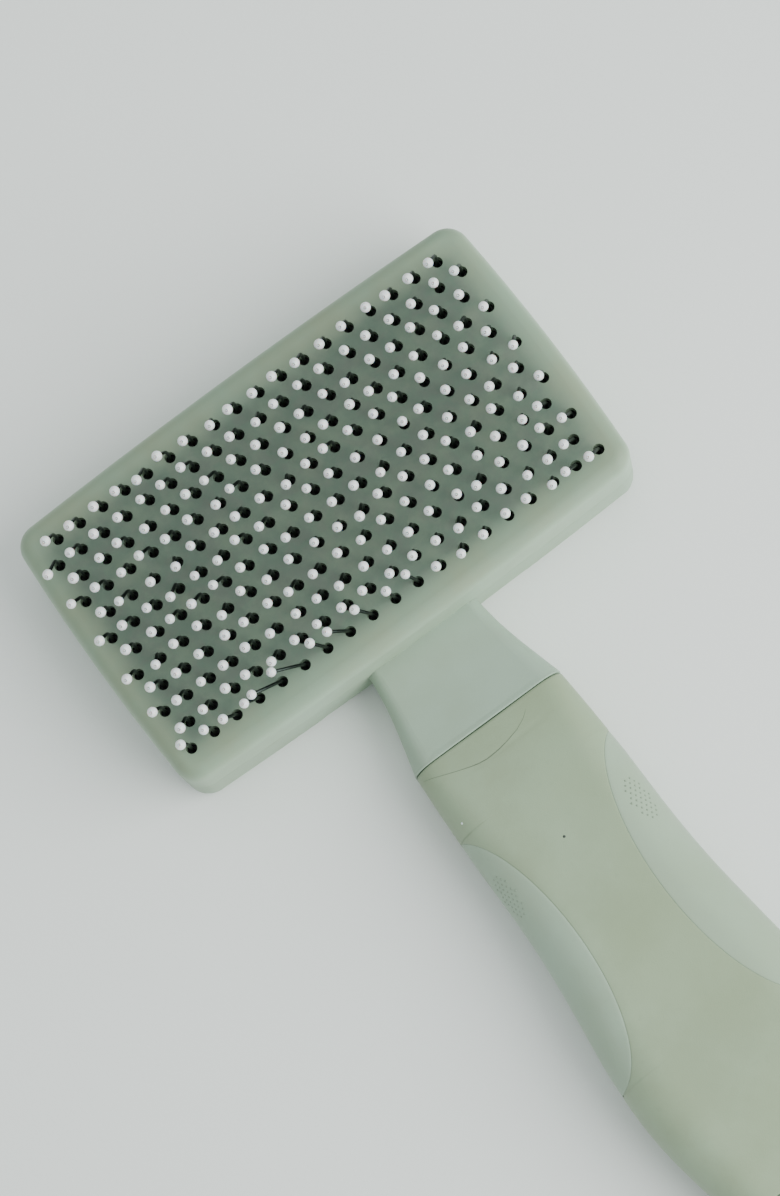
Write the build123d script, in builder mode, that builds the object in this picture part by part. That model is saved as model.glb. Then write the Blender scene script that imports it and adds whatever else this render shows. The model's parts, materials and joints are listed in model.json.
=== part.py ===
"""Self-cleaning slicker brush for pets.

The brush lies on its back. The origin is the centre of the head's flat back, +Z runs
out through the pins, +Y away from the handle and X along the head's long side.
All sizes are in millimetres.
"""

import math
import os

from build123d import *

# ---- head -------------------------------------------------------------------------
HEAD_LENGTH = 103.0  # along X, across the crowned short sides
HEAD_WIDTH = 60.0  # along Y
CROWN = 1.0  # how far each side bows out past its corners
CORNER_RADIUS = 4.5
FACE_Z = 20.0  # front of the perforated face
SPLIT_Z = 10.5  # joint between the front shell and the rear shell
SPLIT_GAP = 0.1
FACE_EDGE_RADIUS = 2.8
BACK_EDGE_RADIUS = 3.2
WALL = 2.0
LIP_HEIGHT = 1.8  # tongue of the front shell inside the rear shell
LIP_THICKNESS = 0.6
FIT = 0.1  # clearance between parts that locate each other

# ---- pins -------------------------------------------------------------------------
ROWS = 12
SHORT_ROW = 18  # pins in the odd rows, counted from the edge away from the handle
LONG_ROW = 19
PIN_PITCH = 5.1
ROW_PITCH = 4.25
FACE_HOLE_DIAMETER = 2.1
WIRE_DIAMETER = 0.5
PIN_SEAT_CLEARANCE = 0.02
PIN_HEAD_DIAMETER = 1.2
PIN_HEAD_HEIGHT = 0.5
TIP_DIAMETER = 1.9
TIP_HEIGHT = 10.0  # centre of a ball tip above the face, pins out
TIP_SOCKET_DEPTH = 1.2

# ---- sliding carriage ---------------------------------------------------------------
TRAVEL = 9.0  # pins out to pins in, along -Z
CARRIER_TOP_Z = 16.6
CARRIER_THICKNESS = 3.0
BACKING_THICKNESS = 1.6
PLATE_LENGTH = 93.8
PLATE_WIDTH = 52.0
PLATE_CORNER = 3.5
PUSH_LENGTH = 84.0
PUSH_WIDTH = 44.0
PUSH_CORNER = 6.0
PUSH_WALL = 1.8
SLIDE_CLEARANCE = 0.4
STOP_CLEARANCE = 0.1
STOP_RIM_WIDTH = 1.4
PUSH_RIB = 1.2
PUSH_RIB_HEIGHT = 4.0
PUSH_BOSS_RADIUS = 2.0
SMALL_EDGE_RADIUS = 0.8

# ---- springs ------------------------------------------------------------------------
RETURN_SPRING_RADIUS = 1.65
RETURN_SPRING_WIRE = 0.4
RETURN_SPRING_TURNS = 5
SPRING_WELL_RADIUS = 2.1

# ---- handle: at each Y its half width, lowest and highest Z, and the corner radius of the
# section as a share of its thickness ------------------------------------------------------
NECK_START_Y = -27.0
GRIP_START_Y = -50.4
GRIP_END_Y = -149.5
NECK_STATIONS = [
    (NECK_START_Y, 12.3, 0.8, 10.5, 0.22),
    (-31.0, 12.4, 0.8, 10.6, 0.22),
    (-40.0, 13.8, 0.7, 11.8, 0.24),
    (GRIP_START_Y, 16.4, 0.4, 14.2, 0.30),
]
GRIP_STATIONS = [
    (GRIP_START_Y, 16.4, 0.4, 14.2, 0.30),
    (-65.0, 17.0, 0.1, 17.6, 0.38),
    (-80.0, 17.1, 0.0, 19.2, 0.44),
    (-95.0, 17.8, 0.0, 19.8, 0.46),
    (-111.0, 19.7, 0.2, 19.8, 0.46),
    (-129.0, 20.4, 0.8, 19.0, 0.46),
    (GRIP_END_Y, 17.4, 2.0, 17.4, 0.46),
]
HANDLE_SPLIT_Z = 6.0
NECK_WALL = 2.0
CORE_WALL = 1.8
SLEEVE_THICKNESS = 1.6
SLEEVE_GAP = 0.1
# outlines of the side pads seen along Z: centre X and Y, half width, half length
PADS = {
    "side_pad_left": (-21.0, -91.5, 11.2, 27.7),
    "side_pad_right": (21.0, -94.5, 13.6, 31.0),
}
PAD_GAP = 0.05

# ---- end cap ------------------------------------------------------------------------
CAP_STATIONS = [
    (GRIP_END_Y - SLEEVE_GAP, 17.4, 2.0, 17.4, 0.46),
    (-156.0, 16.0, 2.9, 16.4, 0.46),
    (-161.0, 13.2, 4.0, 15.2, 0.46),
    (-165.0, 9.4, 5.6, 13.4, 0.46),
]
HANG_HOLE_Y = -156.5
HANG_HOLE_RADIUS = 4.0
CAP_PLUG_LENGTH = 6.0
CAP_END_RADIUS = 2.6

# ---- release button and latch ---------------------------------------------------------
BUTTON_Y = -43.4
BUTTON_LENGTH = 9.2
BUTTON_WIDTH = 14.0
BUTTON_FLANGE = 0.7
BUTTON_FLANGE_Z = 2.95
BUTTON_FLANGE_THICKNESS = 0.75
BUTTON_OPENING_CLEARANCE = 0.3
RAMP_LINE = -34.8  # Y + Z on the button's 45 degree ramp
RAMP_GAP = 0.2
SLIDE_LOW_Z = 5.2
SLIDE_HIGH_Z = 7.0
SLIDE_HALF_WIDTH = 1.7
FINGER_BACK_Y = -27.8
FINGER_FRONT_Y = -26.2
FINGER_TOP_Z = 15.0
SLIDE_FLANGE_Y = -37.0
LATCH_SPRING_RADIUS = 2.25
LATCH_SPRING_WIRE = 0.4
LATCH_SPRING_TURNS = 5
NOTCH_HALF_WIDTH = 6.0
NOTCH_Y = -24.4
CLIP_THICKNESS = 0.3
CLIP_FRONT_Y = -26.0
CLIP_HALF_WIDTH = 5.4
CLIP_LIP_Z = 16.0
CLIP_LIP_REACH = 1.2
CLIP_FOOT_HALF_WIDTH = 9.2
CLIP_FOOT_BACK_Y = -24.2
LEDGE_TIP_Y = -26.5
LEDGE_HEIGHT = 1.0
LEDGE_WIDTH = 2.0
LEDGE_X = 4.2
FINGER_WINDOW_HEIGHT = 4.2
RAMP_BACK_Y = -46.0
RAMP_HALF_WIDTH = 2.5
BUTTON_LOW_Z = 0.2
BUTTON_CORNER = 3.0
SLIDE_FLANGE_WIDTH = 6.4
SLIDE_FLANGE_HEIGHT = 5.0
SLIDE_FLANGE_THICKNESS = 0.8
RIVET_RADIUS = 0.5
RIVET_HEAD_RADIUS = 0.9
RIVET_HEAD_HEIGHT = 0.4
RIVET_Y = -25.0

# ---- fasteners --------------------------------------------------------------------------
BOSS_RADIUS = 2.4
LARGE_SCREW = (2.0, 1.5, 1.05, 12.0)  # head radius, head height, shank radius, length
MEDIUM_SCREW = (1.9, 1.4, 1.0, 7.0)
SMALL_SCREW = (1.5, 1.1, 0.8, 7.5)
SCREW_SLACK = 0.1  # of the holes that a screw passes through
PILOT_SLACK = 0.02  # of the holes that its thread bites
SCREW_DRIVE = (0.64, 0.29)  # cross recess, length and width, as shares of the head's radius
HEAD_SCREW_X = 46.8
HEAD_SCREW_Z = 1.4  # the flat of their heads, sunk in the back
NECK_SCREW_X = 7.8
NECK_SCREW_Y = -34.6
HANDLE_SCREW_YS = (-72.0, -118.0)
CORE_SCREW_Z = 2.6  # the flat of their heads
NECK_SCREW_Z = 1.4

NECK_BOSS_TOP_Z = 9.4
CORE_BOSS_TOP_Z = 17.0
CORE_BOSS_LOW_Z = 3.0

# ---- sizes that follow --------------------------------------------------------------------
FACE_UNDERSIDE_Z = FACE_Z - WALL
CARRIER_LOW_Z = CARRIER_TOP_Z - CARRIER_THICKNESS
BACKING_LOW_Z = CARRIER_LOW_Z - BACKING_THICKNESS
STOP_Z = BACKING_LOW_Z - TRAVEL - STOP_CLEARANCE
SLIDE_AXIS_Z = (SLIDE_LOW_Z + SLIDE_HIGH_Z) / 2
INNER_WALL_Y = -HEAD_WIDTH / 2 + WALL
BASE = (Align.CENTER, Align.CENTER, Align.MIN)
TOP = (Align.CENTER, Align.CENTER, Align.MAX)

os.makedirs("parts", exist_ok=True)


def row_y(row):
    """Y of a row of pins; row 1 is the one away from the handle."""
    return ((ROWS + 1) / 2 - row) * ROW_PITCH


def row_points(row):
    """Centres of the pins in one row."""
    count = SHORT_ROW if row % 2 else LONG_ROW
    return [((i - (count - 1) / 2) * PIN_PITCH, row_y(row)) for i in range(count)]


def all_pin_points():
    return [point for row in range(1, ROWS + 1) for point in row_points(row)]


def between_pins(column, row):
    """The free spot between two neighbours of a long row and the pin before them."""
    above_row = (ROW_PITCH**2 - (PIN_PITCH / 2) ** 2) / (2 * ROW_PITCH)
    return (column * PIN_PITCH + PIN_PITCH / 2, row_y(row) + above_row)


SPRING_SPOTS = [
    between_pins(-7, 4),
    between_pins(6, 4),
    between_pins(-7, 10),
    between_pins(6, 10),
]
CARRIAGE_SCREW_SPOTS = [
    between_pins(-8, 6),
    between_pins(7, 6),
    between_pins(-8, 8),
    between_pins(7, 8),
]
HEAD_SCREW_SPOTS = [(side * HEAD_SCREW_X, row_y(row)) for side in (-1, 1) for row in (1, 11)]
NECK_SCREW_SPOTS = [(-NECK_SCREW_X, NECK_SCREW_Y), (NECK_SCREW_X, NECK_SCREW_Y)]
HANDLE_SCREW_SPOTS = [(0, y) for y in HANDLE_SCREW_YS]
RIVET_SPOTS = [(side * 1.5 * PIN_PITCH, RIVET_Y) for side in (-1, 1)]


def save(builder, name):
    """Label a finished piece and write it."""
    builder.part.label = name
    export_step(builder.part, f"parts/{name}.step")


def posts(spots, radius, low_z, high_z, mode=Mode.ADD):
    """Round posts, or holes, between two heights."""
    for x, y in spots:
        with Locations((x, y, low_z)):
            Cylinder(radius, high_z - low_z, align=BASE, mode=mode)


def head_outline(inset=0.0):
    """Crowned rectangle of the head, seen along Z."""
    x = HEAD_LENGTH / 2 - CROWN - inset
    y = HEAD_WIDTH / 2 - CROWN - inset
    with BuildSketch(mode=Mode.PRIVATE) as outline:
        with BuildLine():
            ThreePointArc((-x, -y), (0, -y - CROWN), (x, -y))
            ThreePointArc((x, -y), (x + CROWN, 0), (x, y))
            ThreePointArc((x, y), (0, y + CROWN), (-x, y))
            ThreePointArc((-x, y), (-x - CROWN, 0), (-x, -y))
        make_face()
        fillet(outline.vertices(), CORNER_RADIUS - inset)
    return outline.sketch


def handle_section(station, inset=0.0):
    """Rounded section of the handle across Y."""
    y, half_width, low_z, high_z, roundness = station
    width = 2 * (half_width - inset)
    height = high_z - low_z - 2 * inset
    with BuildSketch(Plane.XZ.offset(-y), mode=Mode.PRIVATE) as section:
        with Locations((0, (low_z + high_z) / 2)):
            RectangleRounded(width, height, roundness * height)
    return section.sketch.faces()


def handle_loft(stations, inset=0.0):
    """Smooth solid through the sections."""
    faces = [face for station in stations for face in handle_section(station, inset)]
    with BuildPart(mode=Mode.PRIVATE) as body:
        loft(sections=faces)
    return body.part


def shifted_ends(stations, start_y, end_y):
    """The same stations, with the first and last moved along Y to new ends."""
    first = (start_y, *stations[0][1:])
    last = (end_y, *stations[-1][1:])
    return [first, *stations[1:-1], last]


def coil(radius, wire, turns, length, plane):
    """Closed coil spring of round wire, standing on a plane."""
    path = Helix(pitch=(length - wire) / turns, height=length - wire, radius=radius)
    with BuildPart(mode=Mode.PRIVATE) as spring:
        with BuildSketch(Plane(origin=path @ 0, z_dir=path % 0)):
            Circle(wire / 2)
        sweep(path=path, is_frenet=True)
    return plane * Pos(0, 0, wire / 2) * spring.part


def screw(head_radius, head_height, shank_radius, length):
    """Countersunk cross-head screw along +Z, its head's flat at Z = 0."""
    drive_length = 2 * head_radius * SCREW_DRIVE[0]
    drive_width = head_radius * SCREW_DRIVE[1]
    with BuildPart(mode=Mode.PRIVATE) as body:
        Cone(head_radius, shank_radius, head_height, align=BASE)
        Cylinder(shank_radius, length, align=BASE)
        chamfer(body.edges().sort_by(Axis.Z)[-1], shank_radius * 0.4)
        for turn in (0, 90):
            recess = (drive_length, drive_width, head_height / 2)
            Box(*recess, rotation=(0, 0, turn), align=BASE, mode=Mode.SUBTRACT)
    return body.part


def copies(spots, z, piece, flip=False):
    """The same piece standing at several spots."""
    turn = 180 if flip else 0
    for x, y in spots:
        add(Pos(x, y, z) * Rot(turn, 0, 0) * piece)


# ---- front shell: face and side walls in one piece ------------------------------------------
with BuildPart() as face_shell:
    with BuildSketch(Plane.XY.offset(SPLIT_Z)):
        add(head_outline())
    extrude(amount=FACE_Z - SPLIT_Z)
    fillet(face_shell.faces().sort_by(Axis.Z)[-1].edges(), FACE_EDGE_RADIUS)
    with BuildSketch(Plane.XY.offset(SPLIT_Z)):
        add(head_outline(WALL))
    extrude(amount=FACE_UNDERSIDE_Z - SPLIT_Z, mode=Mode.SUBTRACT)
    # tongue that drops inside the rear shell
    with BuildSketch(Plane.XY.offset(SPLIT_Z - LIP_HEIGHT)):
        add(head_outline(WALL + SPLIT_GAP / 2))
        add(head_outline(WALL + LIP_THICKNESS), mode=Mode.SUBTRACT)
    extrude(amount=LIP_HEIGHT)
    with BuildSketch(Plane.XY.offset(SPLIT_Z)):
        add(head_outline(WALL - SPLIT_GAP))
        add(head_outline(WALL + LIP_THICKNESS), mode=Mode.SUBTRACT)
    extrude(amount=LIP_THICKNESS)
    # screw bosses that stand on those of the rear shell
    with BuildSketch(Plane.XY.offset(SPLIT_Z - LIP_HEIGHT)):
        with Locations(*HEAD_SCREW_SPOTS):
            Circle(BOSS_RADIUS)
        add(head_outline(WALL + SPLIT_GAP / 2), mode=Mode.INTERSECT)
    extrude(amount=FACE_UNDERSIDE_Z - SPLIT_Z + LIP_HEIGHT)
    with BuildSketch(Plane.XY.offset(SPLIT_Z)):
        with Locations(*HEAD_SCREW_SPOTS):
            Circle(BOSS_RADIUS)
    extrude(amount=FACE_UNDERSIDE_Z - SPLIT_Z)
    pilot = LARGE_SCREW[2] + PILOT_SLACK
    pilot_top_z = HEAD_SCREW_Z + LARGE_SCREW[3] + 1.0
    posts(HEAD_SCREW_SPOTS, pilot, SPLIT_Z - LIP_HEIGHT, pilot_top_z, Mode.SUBTRACT)
    # two ledges that the latch clip hooks over
    with BuildSketch(Plane.XY.offset(CLIP_LIP_Z - FIT - LEDGE_HEIGHT)):
        ledge_root_y = INNER_WALL_Y - WALL / 2
        with Locations(*[(side * LEDGE_X, (LEDGE_TIP_Y + ledge_root_y) / 2) for side in (-1, 1)]):
            Rectangle(LEDGE_WIDTH, LEDGE_TIP_Y - ledge_root_y)
    extrude(amount=LEDGE_HEIGHT)
    # gap in the tongue for the latch finger
    with Locations((0, INNER_WALL_Y + LIP_THICKNESS, SPLIT_Z - LIP_HEIGHT)):
        gap = (2 * NOTCH_HALF_WIDTH, 2 * LIP_THICKNESS, LIP_HEIGHT + WALL)
        Box(*gap, align=BASE, mode=Mode.SUBTRACT)
    with BuildSketch(Plane.XY.offset(FACE_Z)):
        with Locations(*all_pin_points()):
            Circle(FACE_HOLE_DIAMETER / 2)
    extrude(amount=-WALL, mode=Mode.SUBTRACT)
save(face_shell, "face_shell")

# ---- handle blank: hollow neck and core, before it is parted front and back ---------------
with BuildPart() as handle_blank:
    add(handle_loft(NECK_STATIONS))
    add(handle_loft(shifted_ends(GRIP_STATIONS, GRIP_START_Y + 1.0, GRIP_END_Y), SLEEVE_THICKNESS))
    neck_hollow = shifted_ends(NECK_STATIONS, NECK_START_Y, GRIP_START_Y + 0.2)
    add(handle_loft(neck_hollow, NECK_WALL), mode=Mode.SUBTRACT)
    core_hollow = shifted_ends(GRIP_STATIONS, GRIP_START_Y + 3.0, GRIP_END_Y)
    add(handle_loft(core_hollow, SLEEVE_THICKNESS + CORE_WALL), mode=Mode.SUBTRACT)

# ---- rear shell: back of the head, back of the neck and rear half of the core ---------------
with BuildPart() as rear_shell:
    with BuildSketch():
        add(head_outline())
    extrude(amount=SPLIT_Z - SPLIT_GAP)
    fillet(rear_shell.faces().sort_by(Axis.Z)[0].edges(), BACK_EDGE_RADIUS)
    with BuildSketch(Plane.XY.offset(WALL)):
        add(head_outline(WALL))
    extrude(amount=SPLIT_Z, mode=Mode.SUBTRACT)
    # rim round the push plate's opening, which stops the carriage
    with BuildSketch(Plane.XY.offset(WALL)):
        opening_length = PUSH_LENGTH + 2 * SLIDE_CLEARANCE
        opening_width = PUSH_WIDTH + 2 * SLIDE_CLEARANCE
        rim = 2 * STOP_RIM_WIDTH
        RectangleRounded(opening_length + rim, opening_width + rim, PUSH_CORNER + STOP_RIM_WIDTH)
    extrude(amount=STOP_Z - WALL)
    with BuildSketch():
        RectangleRounded(opening_length, opening_width, PUSH_CORNER + SLIDE_CLEARANCE)
    extrude(amount=STOP_Z, mode=Mode.SUBTRACT)
    posts(HEAD_SCREW_SPOTS, BOSS_RADIUS, WALL, SPLIT_Z - LIP_HEIGHT - SPLIT_GAP)
    head_radius, head_height, shank_radius, length = LARGE_SCREW
    posts(HEAD_SCREW_SPOTS, shank_radius + SCREW_SLACK, 0, SPLIT_Z, Mode.SUBTRACT)
    posts(HEAD_SCREW_SPOTS, head_radius + SCREW_SLACK, 0, HEAD_SCREW_Z, Mode.SUBTRACT)
    for x, y in HEAD_SCREW_SPOTS:
        with Locations((x, y, HEAD_SCREW_Z)):
            top_radius = shank_radius + SCREW_SLACK
            Cone(head_radius + SCREW_SLACK, top_radius, head_height, align=BASE, mode=Mode.SUBTRACT)

# the half of the handle that belongs to the rear shell
with BuildPart() as handle_back:
    add(handle_blank.part)
    split(bisect_by=Plane.XY.offset(HANDLE_SPLIT_Z), keep=Keep.BOTTOM)
    with BuildSketch(Plane.XY):
        add(head_outline(WALL / 4))
    extrude(amount=SPLIT_Z, mode=Mode.SUBTRACT)
    # bosses for the screws through the neck and the core
    boss_top_z = HANDLE_SPLIT_Z - FIT / 2
    posts(NECK_SCREW_SPOTS, BOSS_RADIUS, NECK_WALL, boss_top_z)
    posts(HANDLE_SCREW_SPOTS, BOSS_RADIUS, CORE_BOSS_LOW_Z, boss_top_z)
    head_radius, head_height, shank_radius, length = MEDIUM_SCREW
    for spots, flat_z in ((NECK_SCREW_SPOTS, NECK_SCREW_Z), (HANDLE_SCREW_SPOTS, CORE_SCREW_Z)):
        posts(spots, shank_radius + SCREW_SLACK, 0, SPLIT_Z, Mode.SUBTRACT)
        posts(spots, head_radius + SCREW_SLACK, 0, flat_z + head_height + SCREW_SLACK, Mode.SUBTRACT)

with BuildPart() as rear_shell_whole:
    add(rear_shell.part)
    add(handle_back.part)
    # window for the latch slide, and the opening of the release button
    with Locations((0, INNER_WALL_Y - WALL / 2, SLIDE_AXIS_Z)):
        window = (2 * (SLIDE_HALF_WIDTH + FIT) + 1.0, 3 * WALL, FINGER_WINDOW_HEIGHT)
        Box(*window, mode=Mode.SUBTRACT)
    with BuildSketch():
        with Locations((0, BUTTON_Y)):
            clearance = 2 * BUTTON_OPENING_CLEARANCE
            RectangleRounded(
                BUTTON_WIDTH + clearance,
                BUTTON_LENGTH + clearance,
                BUTTON_CORNER + BUTTON_OPENING_CLEARANCE,
            )
    extrude(amount=BUTTON_FLANGE_Z, mode=Mode.SUBTRACT)
save(rear_shell_whole, "rear_shell")

# ---- front half of the neck and core ----------------------------------------------------------
with BuildPart() as handle_front:
    add(handle_blank.part)
    front_low_z = HANDLE_SPLIT_Z + FIT / 2
    split(bisect_by=Plane.XY.offset(front_low_z), keep=Keep.TOP)
    with BuildSketch(Plane.XY):
        add(head_outline())
    extrude(amount=SPLIT_Z + WALL, mode=Mode.SUBTRACT)
    pilot = MEDIUM_SCREW[2] + PILOT_SLACK
    for spots, top_z, flat_z in (
        (NECK_SCREW_SPOTS, NECK_BOSS_TOP_Z, NECK_SCREW_Z),
        (HANDLE_SCREW_SPOTS, CORE_BOSS_TOP_Z, CORE_SCREW_Z),
    ):
        posts(spots, BOSS_RADIUS, front_low_z, top_z)
        posts(spots, pilot, front_low_z, flat_z + MEDIUM_SCREW[3] + FIT, Mode.SUBTRACT)
save(handle_front, "handle_front")

# ---- soft grip sleeve with the two side pads set into it -----------------------------------------
sleeve_stations = shifted_ends(GRIP_STATIONS, GRIP_START_Y - SLEEVE_GAP, GRIP_END_Y)
core_stations = shifted_ends(GRIP_STATIONS, GRIP_START_Y + 1.0, GRIP_END_Y)
core_solid = handle_loft(core_stations, SLEEVE_THICKNESS)

with BuildPart() as sleeve_blank:
    add(handle_loft(sleeve_stations))
    add(core_solid, mode=Mode.SUBTRACT)

with BuildPart() as grip_sleeve:
    add(sleeve_blank.part)
    with BuildSketch(Plane.XY.offset(-WALL)):
        for x, y, half_width, half_length in PADS.values():
            with Locations((x, y)):
                Ellipse(half_width, half_length)
    extrude(amount=FACE_Z + 2 * WALL, mode=Mode.SUBTRACT)
save(grip_sleeve, "grip_sleeve")

for name, (x, y, half_width, half_length) in PADS.items():
    with BuildPart() as side_pad:
        add(sleeve_blank.part)
        with BuildSketch(Plane.XY.offset(-WALL)):
            with Locations((x, y)):
                Ellipse(half_width - PAD_GAP, half_length - PAD_GAP)
        extrude(amount=FACE_Z + 2 * WALL, mode=Mode.INTERSECT)
    save(side_pad, name)

# ---- end cap with the hanging hole -------------------------------------------------------------------
with BuildPart() as end_cap:
    add(handle_loft(CAP_STATIONS))
    fillet(end_cap.faces().sort_by(Axis.Y)[0].edges(), CAP_END_RADIUS)
    cap_end = CAP_STATIONS[0]
    plug = [(GRIP_END_Y + CAP_PLUG_LENGTH, *cap_end[1:]), (GRIP_END_Y - WALL / 2, *cap_end[1:])]
    add(handle_loft(plug, SLEEVE_THICKNESS + CORE_WALL + 2 * FIT))
    with Locations((0, HANG_HOLE_Y, 0)):
        Cylinder(HANG_HOLE_RADIUS, 2 * FACE_Z, mode=Mode.SUBTRACT)
save(end_cap, "end_cap")

# ---- carriage: pin carrier and backing plate ---------------------------------------------------------
def plate_outline():
    """Outline shared by both plates, cut back for the bosses and the latch."""
    with BuildSketch(mode=Mode.PRIVATE) as outline:
        RectangleRounded(PLATE_LENGTH, PLATE_WIDTH, PLATE_CORNER)
        slot_radius = BOSS_RADIUS + 3 * FIT
        with Locations(*HEAD_SCREW_SPOTS):
            Circle(slot_radius, mode=Mode.SUBTRACT)
        with Locations(*[(x + math.copysign(slot_radius, x), y) for x, y in HEAD_SCREW_SPOTS]):
            Rectangle(2 * slot_radius, 2 * slot_radius, mode=Mode.SUBTRACT)
        with Locations((0, NOTCH_Y - NOTCH_HALF_WIDTH)):
            Rectangle(2 * NOTCH_HALF_WIDTH, 2 * NOTCH_HALF_WIDTH, mode=Mode.SUBTRACT)
    return max(outline.sketch.faces(), key=lambda face: face.area)


SMALL_SHANK = SMALL_SCREW[2] + SCREW_SLACK

with BuildPart() as pin_carrier:
    # lower layer with the seats of the pins' heads, then the layer that holds the wires
    for low_z, high_z, pin_radius in (
        (CARRIER_LOW_Z, CARRIER_LOW_Z + PIN_HEAD_HEIGHT, PIN_HEAD_DIAMETER / 2),
        (CARRIER_LOW_Z + PIN_HEAD_HEIGHT, CARRIER_TOP_Z, WIRE_DIAMETER / 2),
    ):
        with BuildSketch(Plane.XY.offset(low_z)):
            add(plate_outline())
            with Locations(*all_pin_points()):
                Circle(pin_radius + PIN_SEAT_CLEARANCE, mode=Mode.SUBTRACT)
            with Locations(*SPRING_SPOTS):
                Circle(SPRING_WELL_RADIUS, mode=Mode.SUBTRACT)
            with Locations(*CARRIAGE_SCREW_SPOTS):
                Circle(SMALL_SHANK, mode=Mode.SUBTRACT)
        extrude(amount=high_z - low_z)
    rivet_well = RIVET_HEAD_RADIUS + 2 * FIT
    posts(RIVET_SPOTS, rivet_well, CARRIER_LOW_Z, CARRIER_LOW_Z + PIN_HEAD_HEIGHT, Mode.SUBTRACT)
    for x, y in CARRIAGE_SCREW_SPOTS:
        with Locations((x, y, CARRIER_TOP_Z)):
            well_radius = SMALL_SCREW[0] + SCREW_SLACK
            well_depth = SMALL_SCREW[1] + SCREW_SLACK
            Cone(SMALL_SHANK, well_radius, well_depth, align=TOP, mode=Mode.SUBTRACT)
save(pin_carrier, "pin_carrier")

with BuildPart() as pin_backing_plate:
    with BuildSketch(Plane.XY.offset(BACKING_LOW_Z)):
        add(plate_outline())
    extrude(amount=BACKING_THICKNESS)
    posts(CARRIAGE_SCREW_SPOTS, SMALL_SHANK, BACKING_LOW_Z, CARRIER_LOW_Z, Mode.SUBTRACT)
    posts(RIVET_SPOTS, RIVET_RADIUS + PILOT_SLACK, BACKING_LOW_Z, CARRIER_LOW_Z, Mode.SUBTRACT)
save(pin_backing_plate, "pin_backing_plate")

# ---- pins and their ball tips, one node for each row -----------------------------------------------------
TIP_Z = FACE_Z + TIP_HEIGHT
WIRE_TOP_Z = TIP_Z - TIP_DIAMETER / 2 + TIP_SOCKET_DEPTH

with BuildPart() as one_pin:
    posts([(0, 0)], PIN_HEAD_DIAMETER / 2, CARRIER_LOW_Z, CARRIER_LOW_Z + PIN_HEAD_HEIGHT)
    posts([(0, 0)], WIRE_DIAMETER / 2, CARRIER_LOW_Z, WIRE_TOP_Z)

with BuildPart() as one_tip:
    with Locations((0, 0, TIP_Z)):
        Sphere(TIP_DIAMETER / 2)
    posts([(0, 0)], WIRE_DIAMETER / 2 + PIN_SEAT_CLEARANCE, FACE_Z, WIRE_TOP_Z, Mode.SUBTRACT)

for row in range(1, ROWS + 1):
    for piece, name in ((one_pin, "pins_row"), (one_tip, "tips_row")):
        with BuildPart() as pin_row:
            with Locations(*row_points(row)):
                add(piece.part)
        save(pin_row, f"{name}_{row:02d}")

# ---- push plate: the back button of the head that drives the pins out ------------------------------------
with BuildPart() as push_plate:
    with BuildSketch():
        RectangleRounded(PUSH_LENGTH, PUSH_WIDTH, PUSH_CORNER)
    extrude(amount=BACKING_LOW_Z)
    fillet(push_plate.faces().sort_by(Axis.Z)[0].edges(), SMALL_EDGE_RADIUS)
    inner_length = PUSH_LENGTH - 2 * PUSH_WALL
    inner_width = PUSH_WIDTH - 2 * PUSH_WALL
    with BuildSketch(Plane.XY.offset(WALL)):
        RectangleRounded(inner_length, inner_width, PUSH_CORNER - PUSH_WALL)
    extrude(amount=BACKING_LOW_Z, mode=Mode.SUBTRACT)
    # stiffening ribs and screw bosses
    with BuildSketch(Plane.XY.offset(WALL)):
        with GridLocations(PUSH_LENGTH / 5, 0, 3, 1):
            Rectangle(PUSH_RIB, inner_width)
        Rectangle(inner_length, PUSH_RIB)
    extrude(amount=PUSH_RIB_HEIGHT)
    posts(CARRIAGE_SCREW_SPOTS, PUSH_BOSS_RADIUS, WALL, BACKING_LOW_Z)
    pilot = SMALL_SCREW[2] + PILOT_SLACK
    pilot_low_z = CARRIER_TOP_Z - SMALL_SCREW[3] - FIT
    posts(CARRIAGE_SCREW_SPOTS, pilot, pilot_low_z, BACKING_LOW_Z, Mode.SUBTRACT)
save(push_plate, "push_plate")

with BuildPart() as carriage_screws:
    copies(CARRIAGE_SCREW_SPOTS, CARRIER_TOP_Z, screw(*SMALL_SCREW), flip=True)
save(carriage_screws, "carriage_screws")

# ---- return springs between the face and the carriage ---------------------------------------------------
spring_length = FACE_UNDERSIDE_Z - CARRIER_LOW_Z - FIT
for number, (x, y) in enumerate(SPRING_SPOTS, start=1):
    foot = Plane.XY.offset(CARRIER_LOW_Z + FIT / 2) * Pos(x, y, 0)
    with BuildPart() as return_spring:
        add(coil(RETURN_SPRING_RADIUS, RETURN_SPRING_WIRE, RETURN_SPRING_TURNS, spring_length, foot))
    save(return_spring, f"return_spring_{number}")

# ---- latch clip of spring steel, riveted to the backing plate ----------------------------------------------
clip_foot_z = BACKING_LOW_Z - CLIP_THICKNESS
clip_back_y = CLIP_FRONT_Y + CLIP_THICKNESS
clip_lip_y = CLIP_FRONT_Y - CLIP_LIP_REACH

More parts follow.
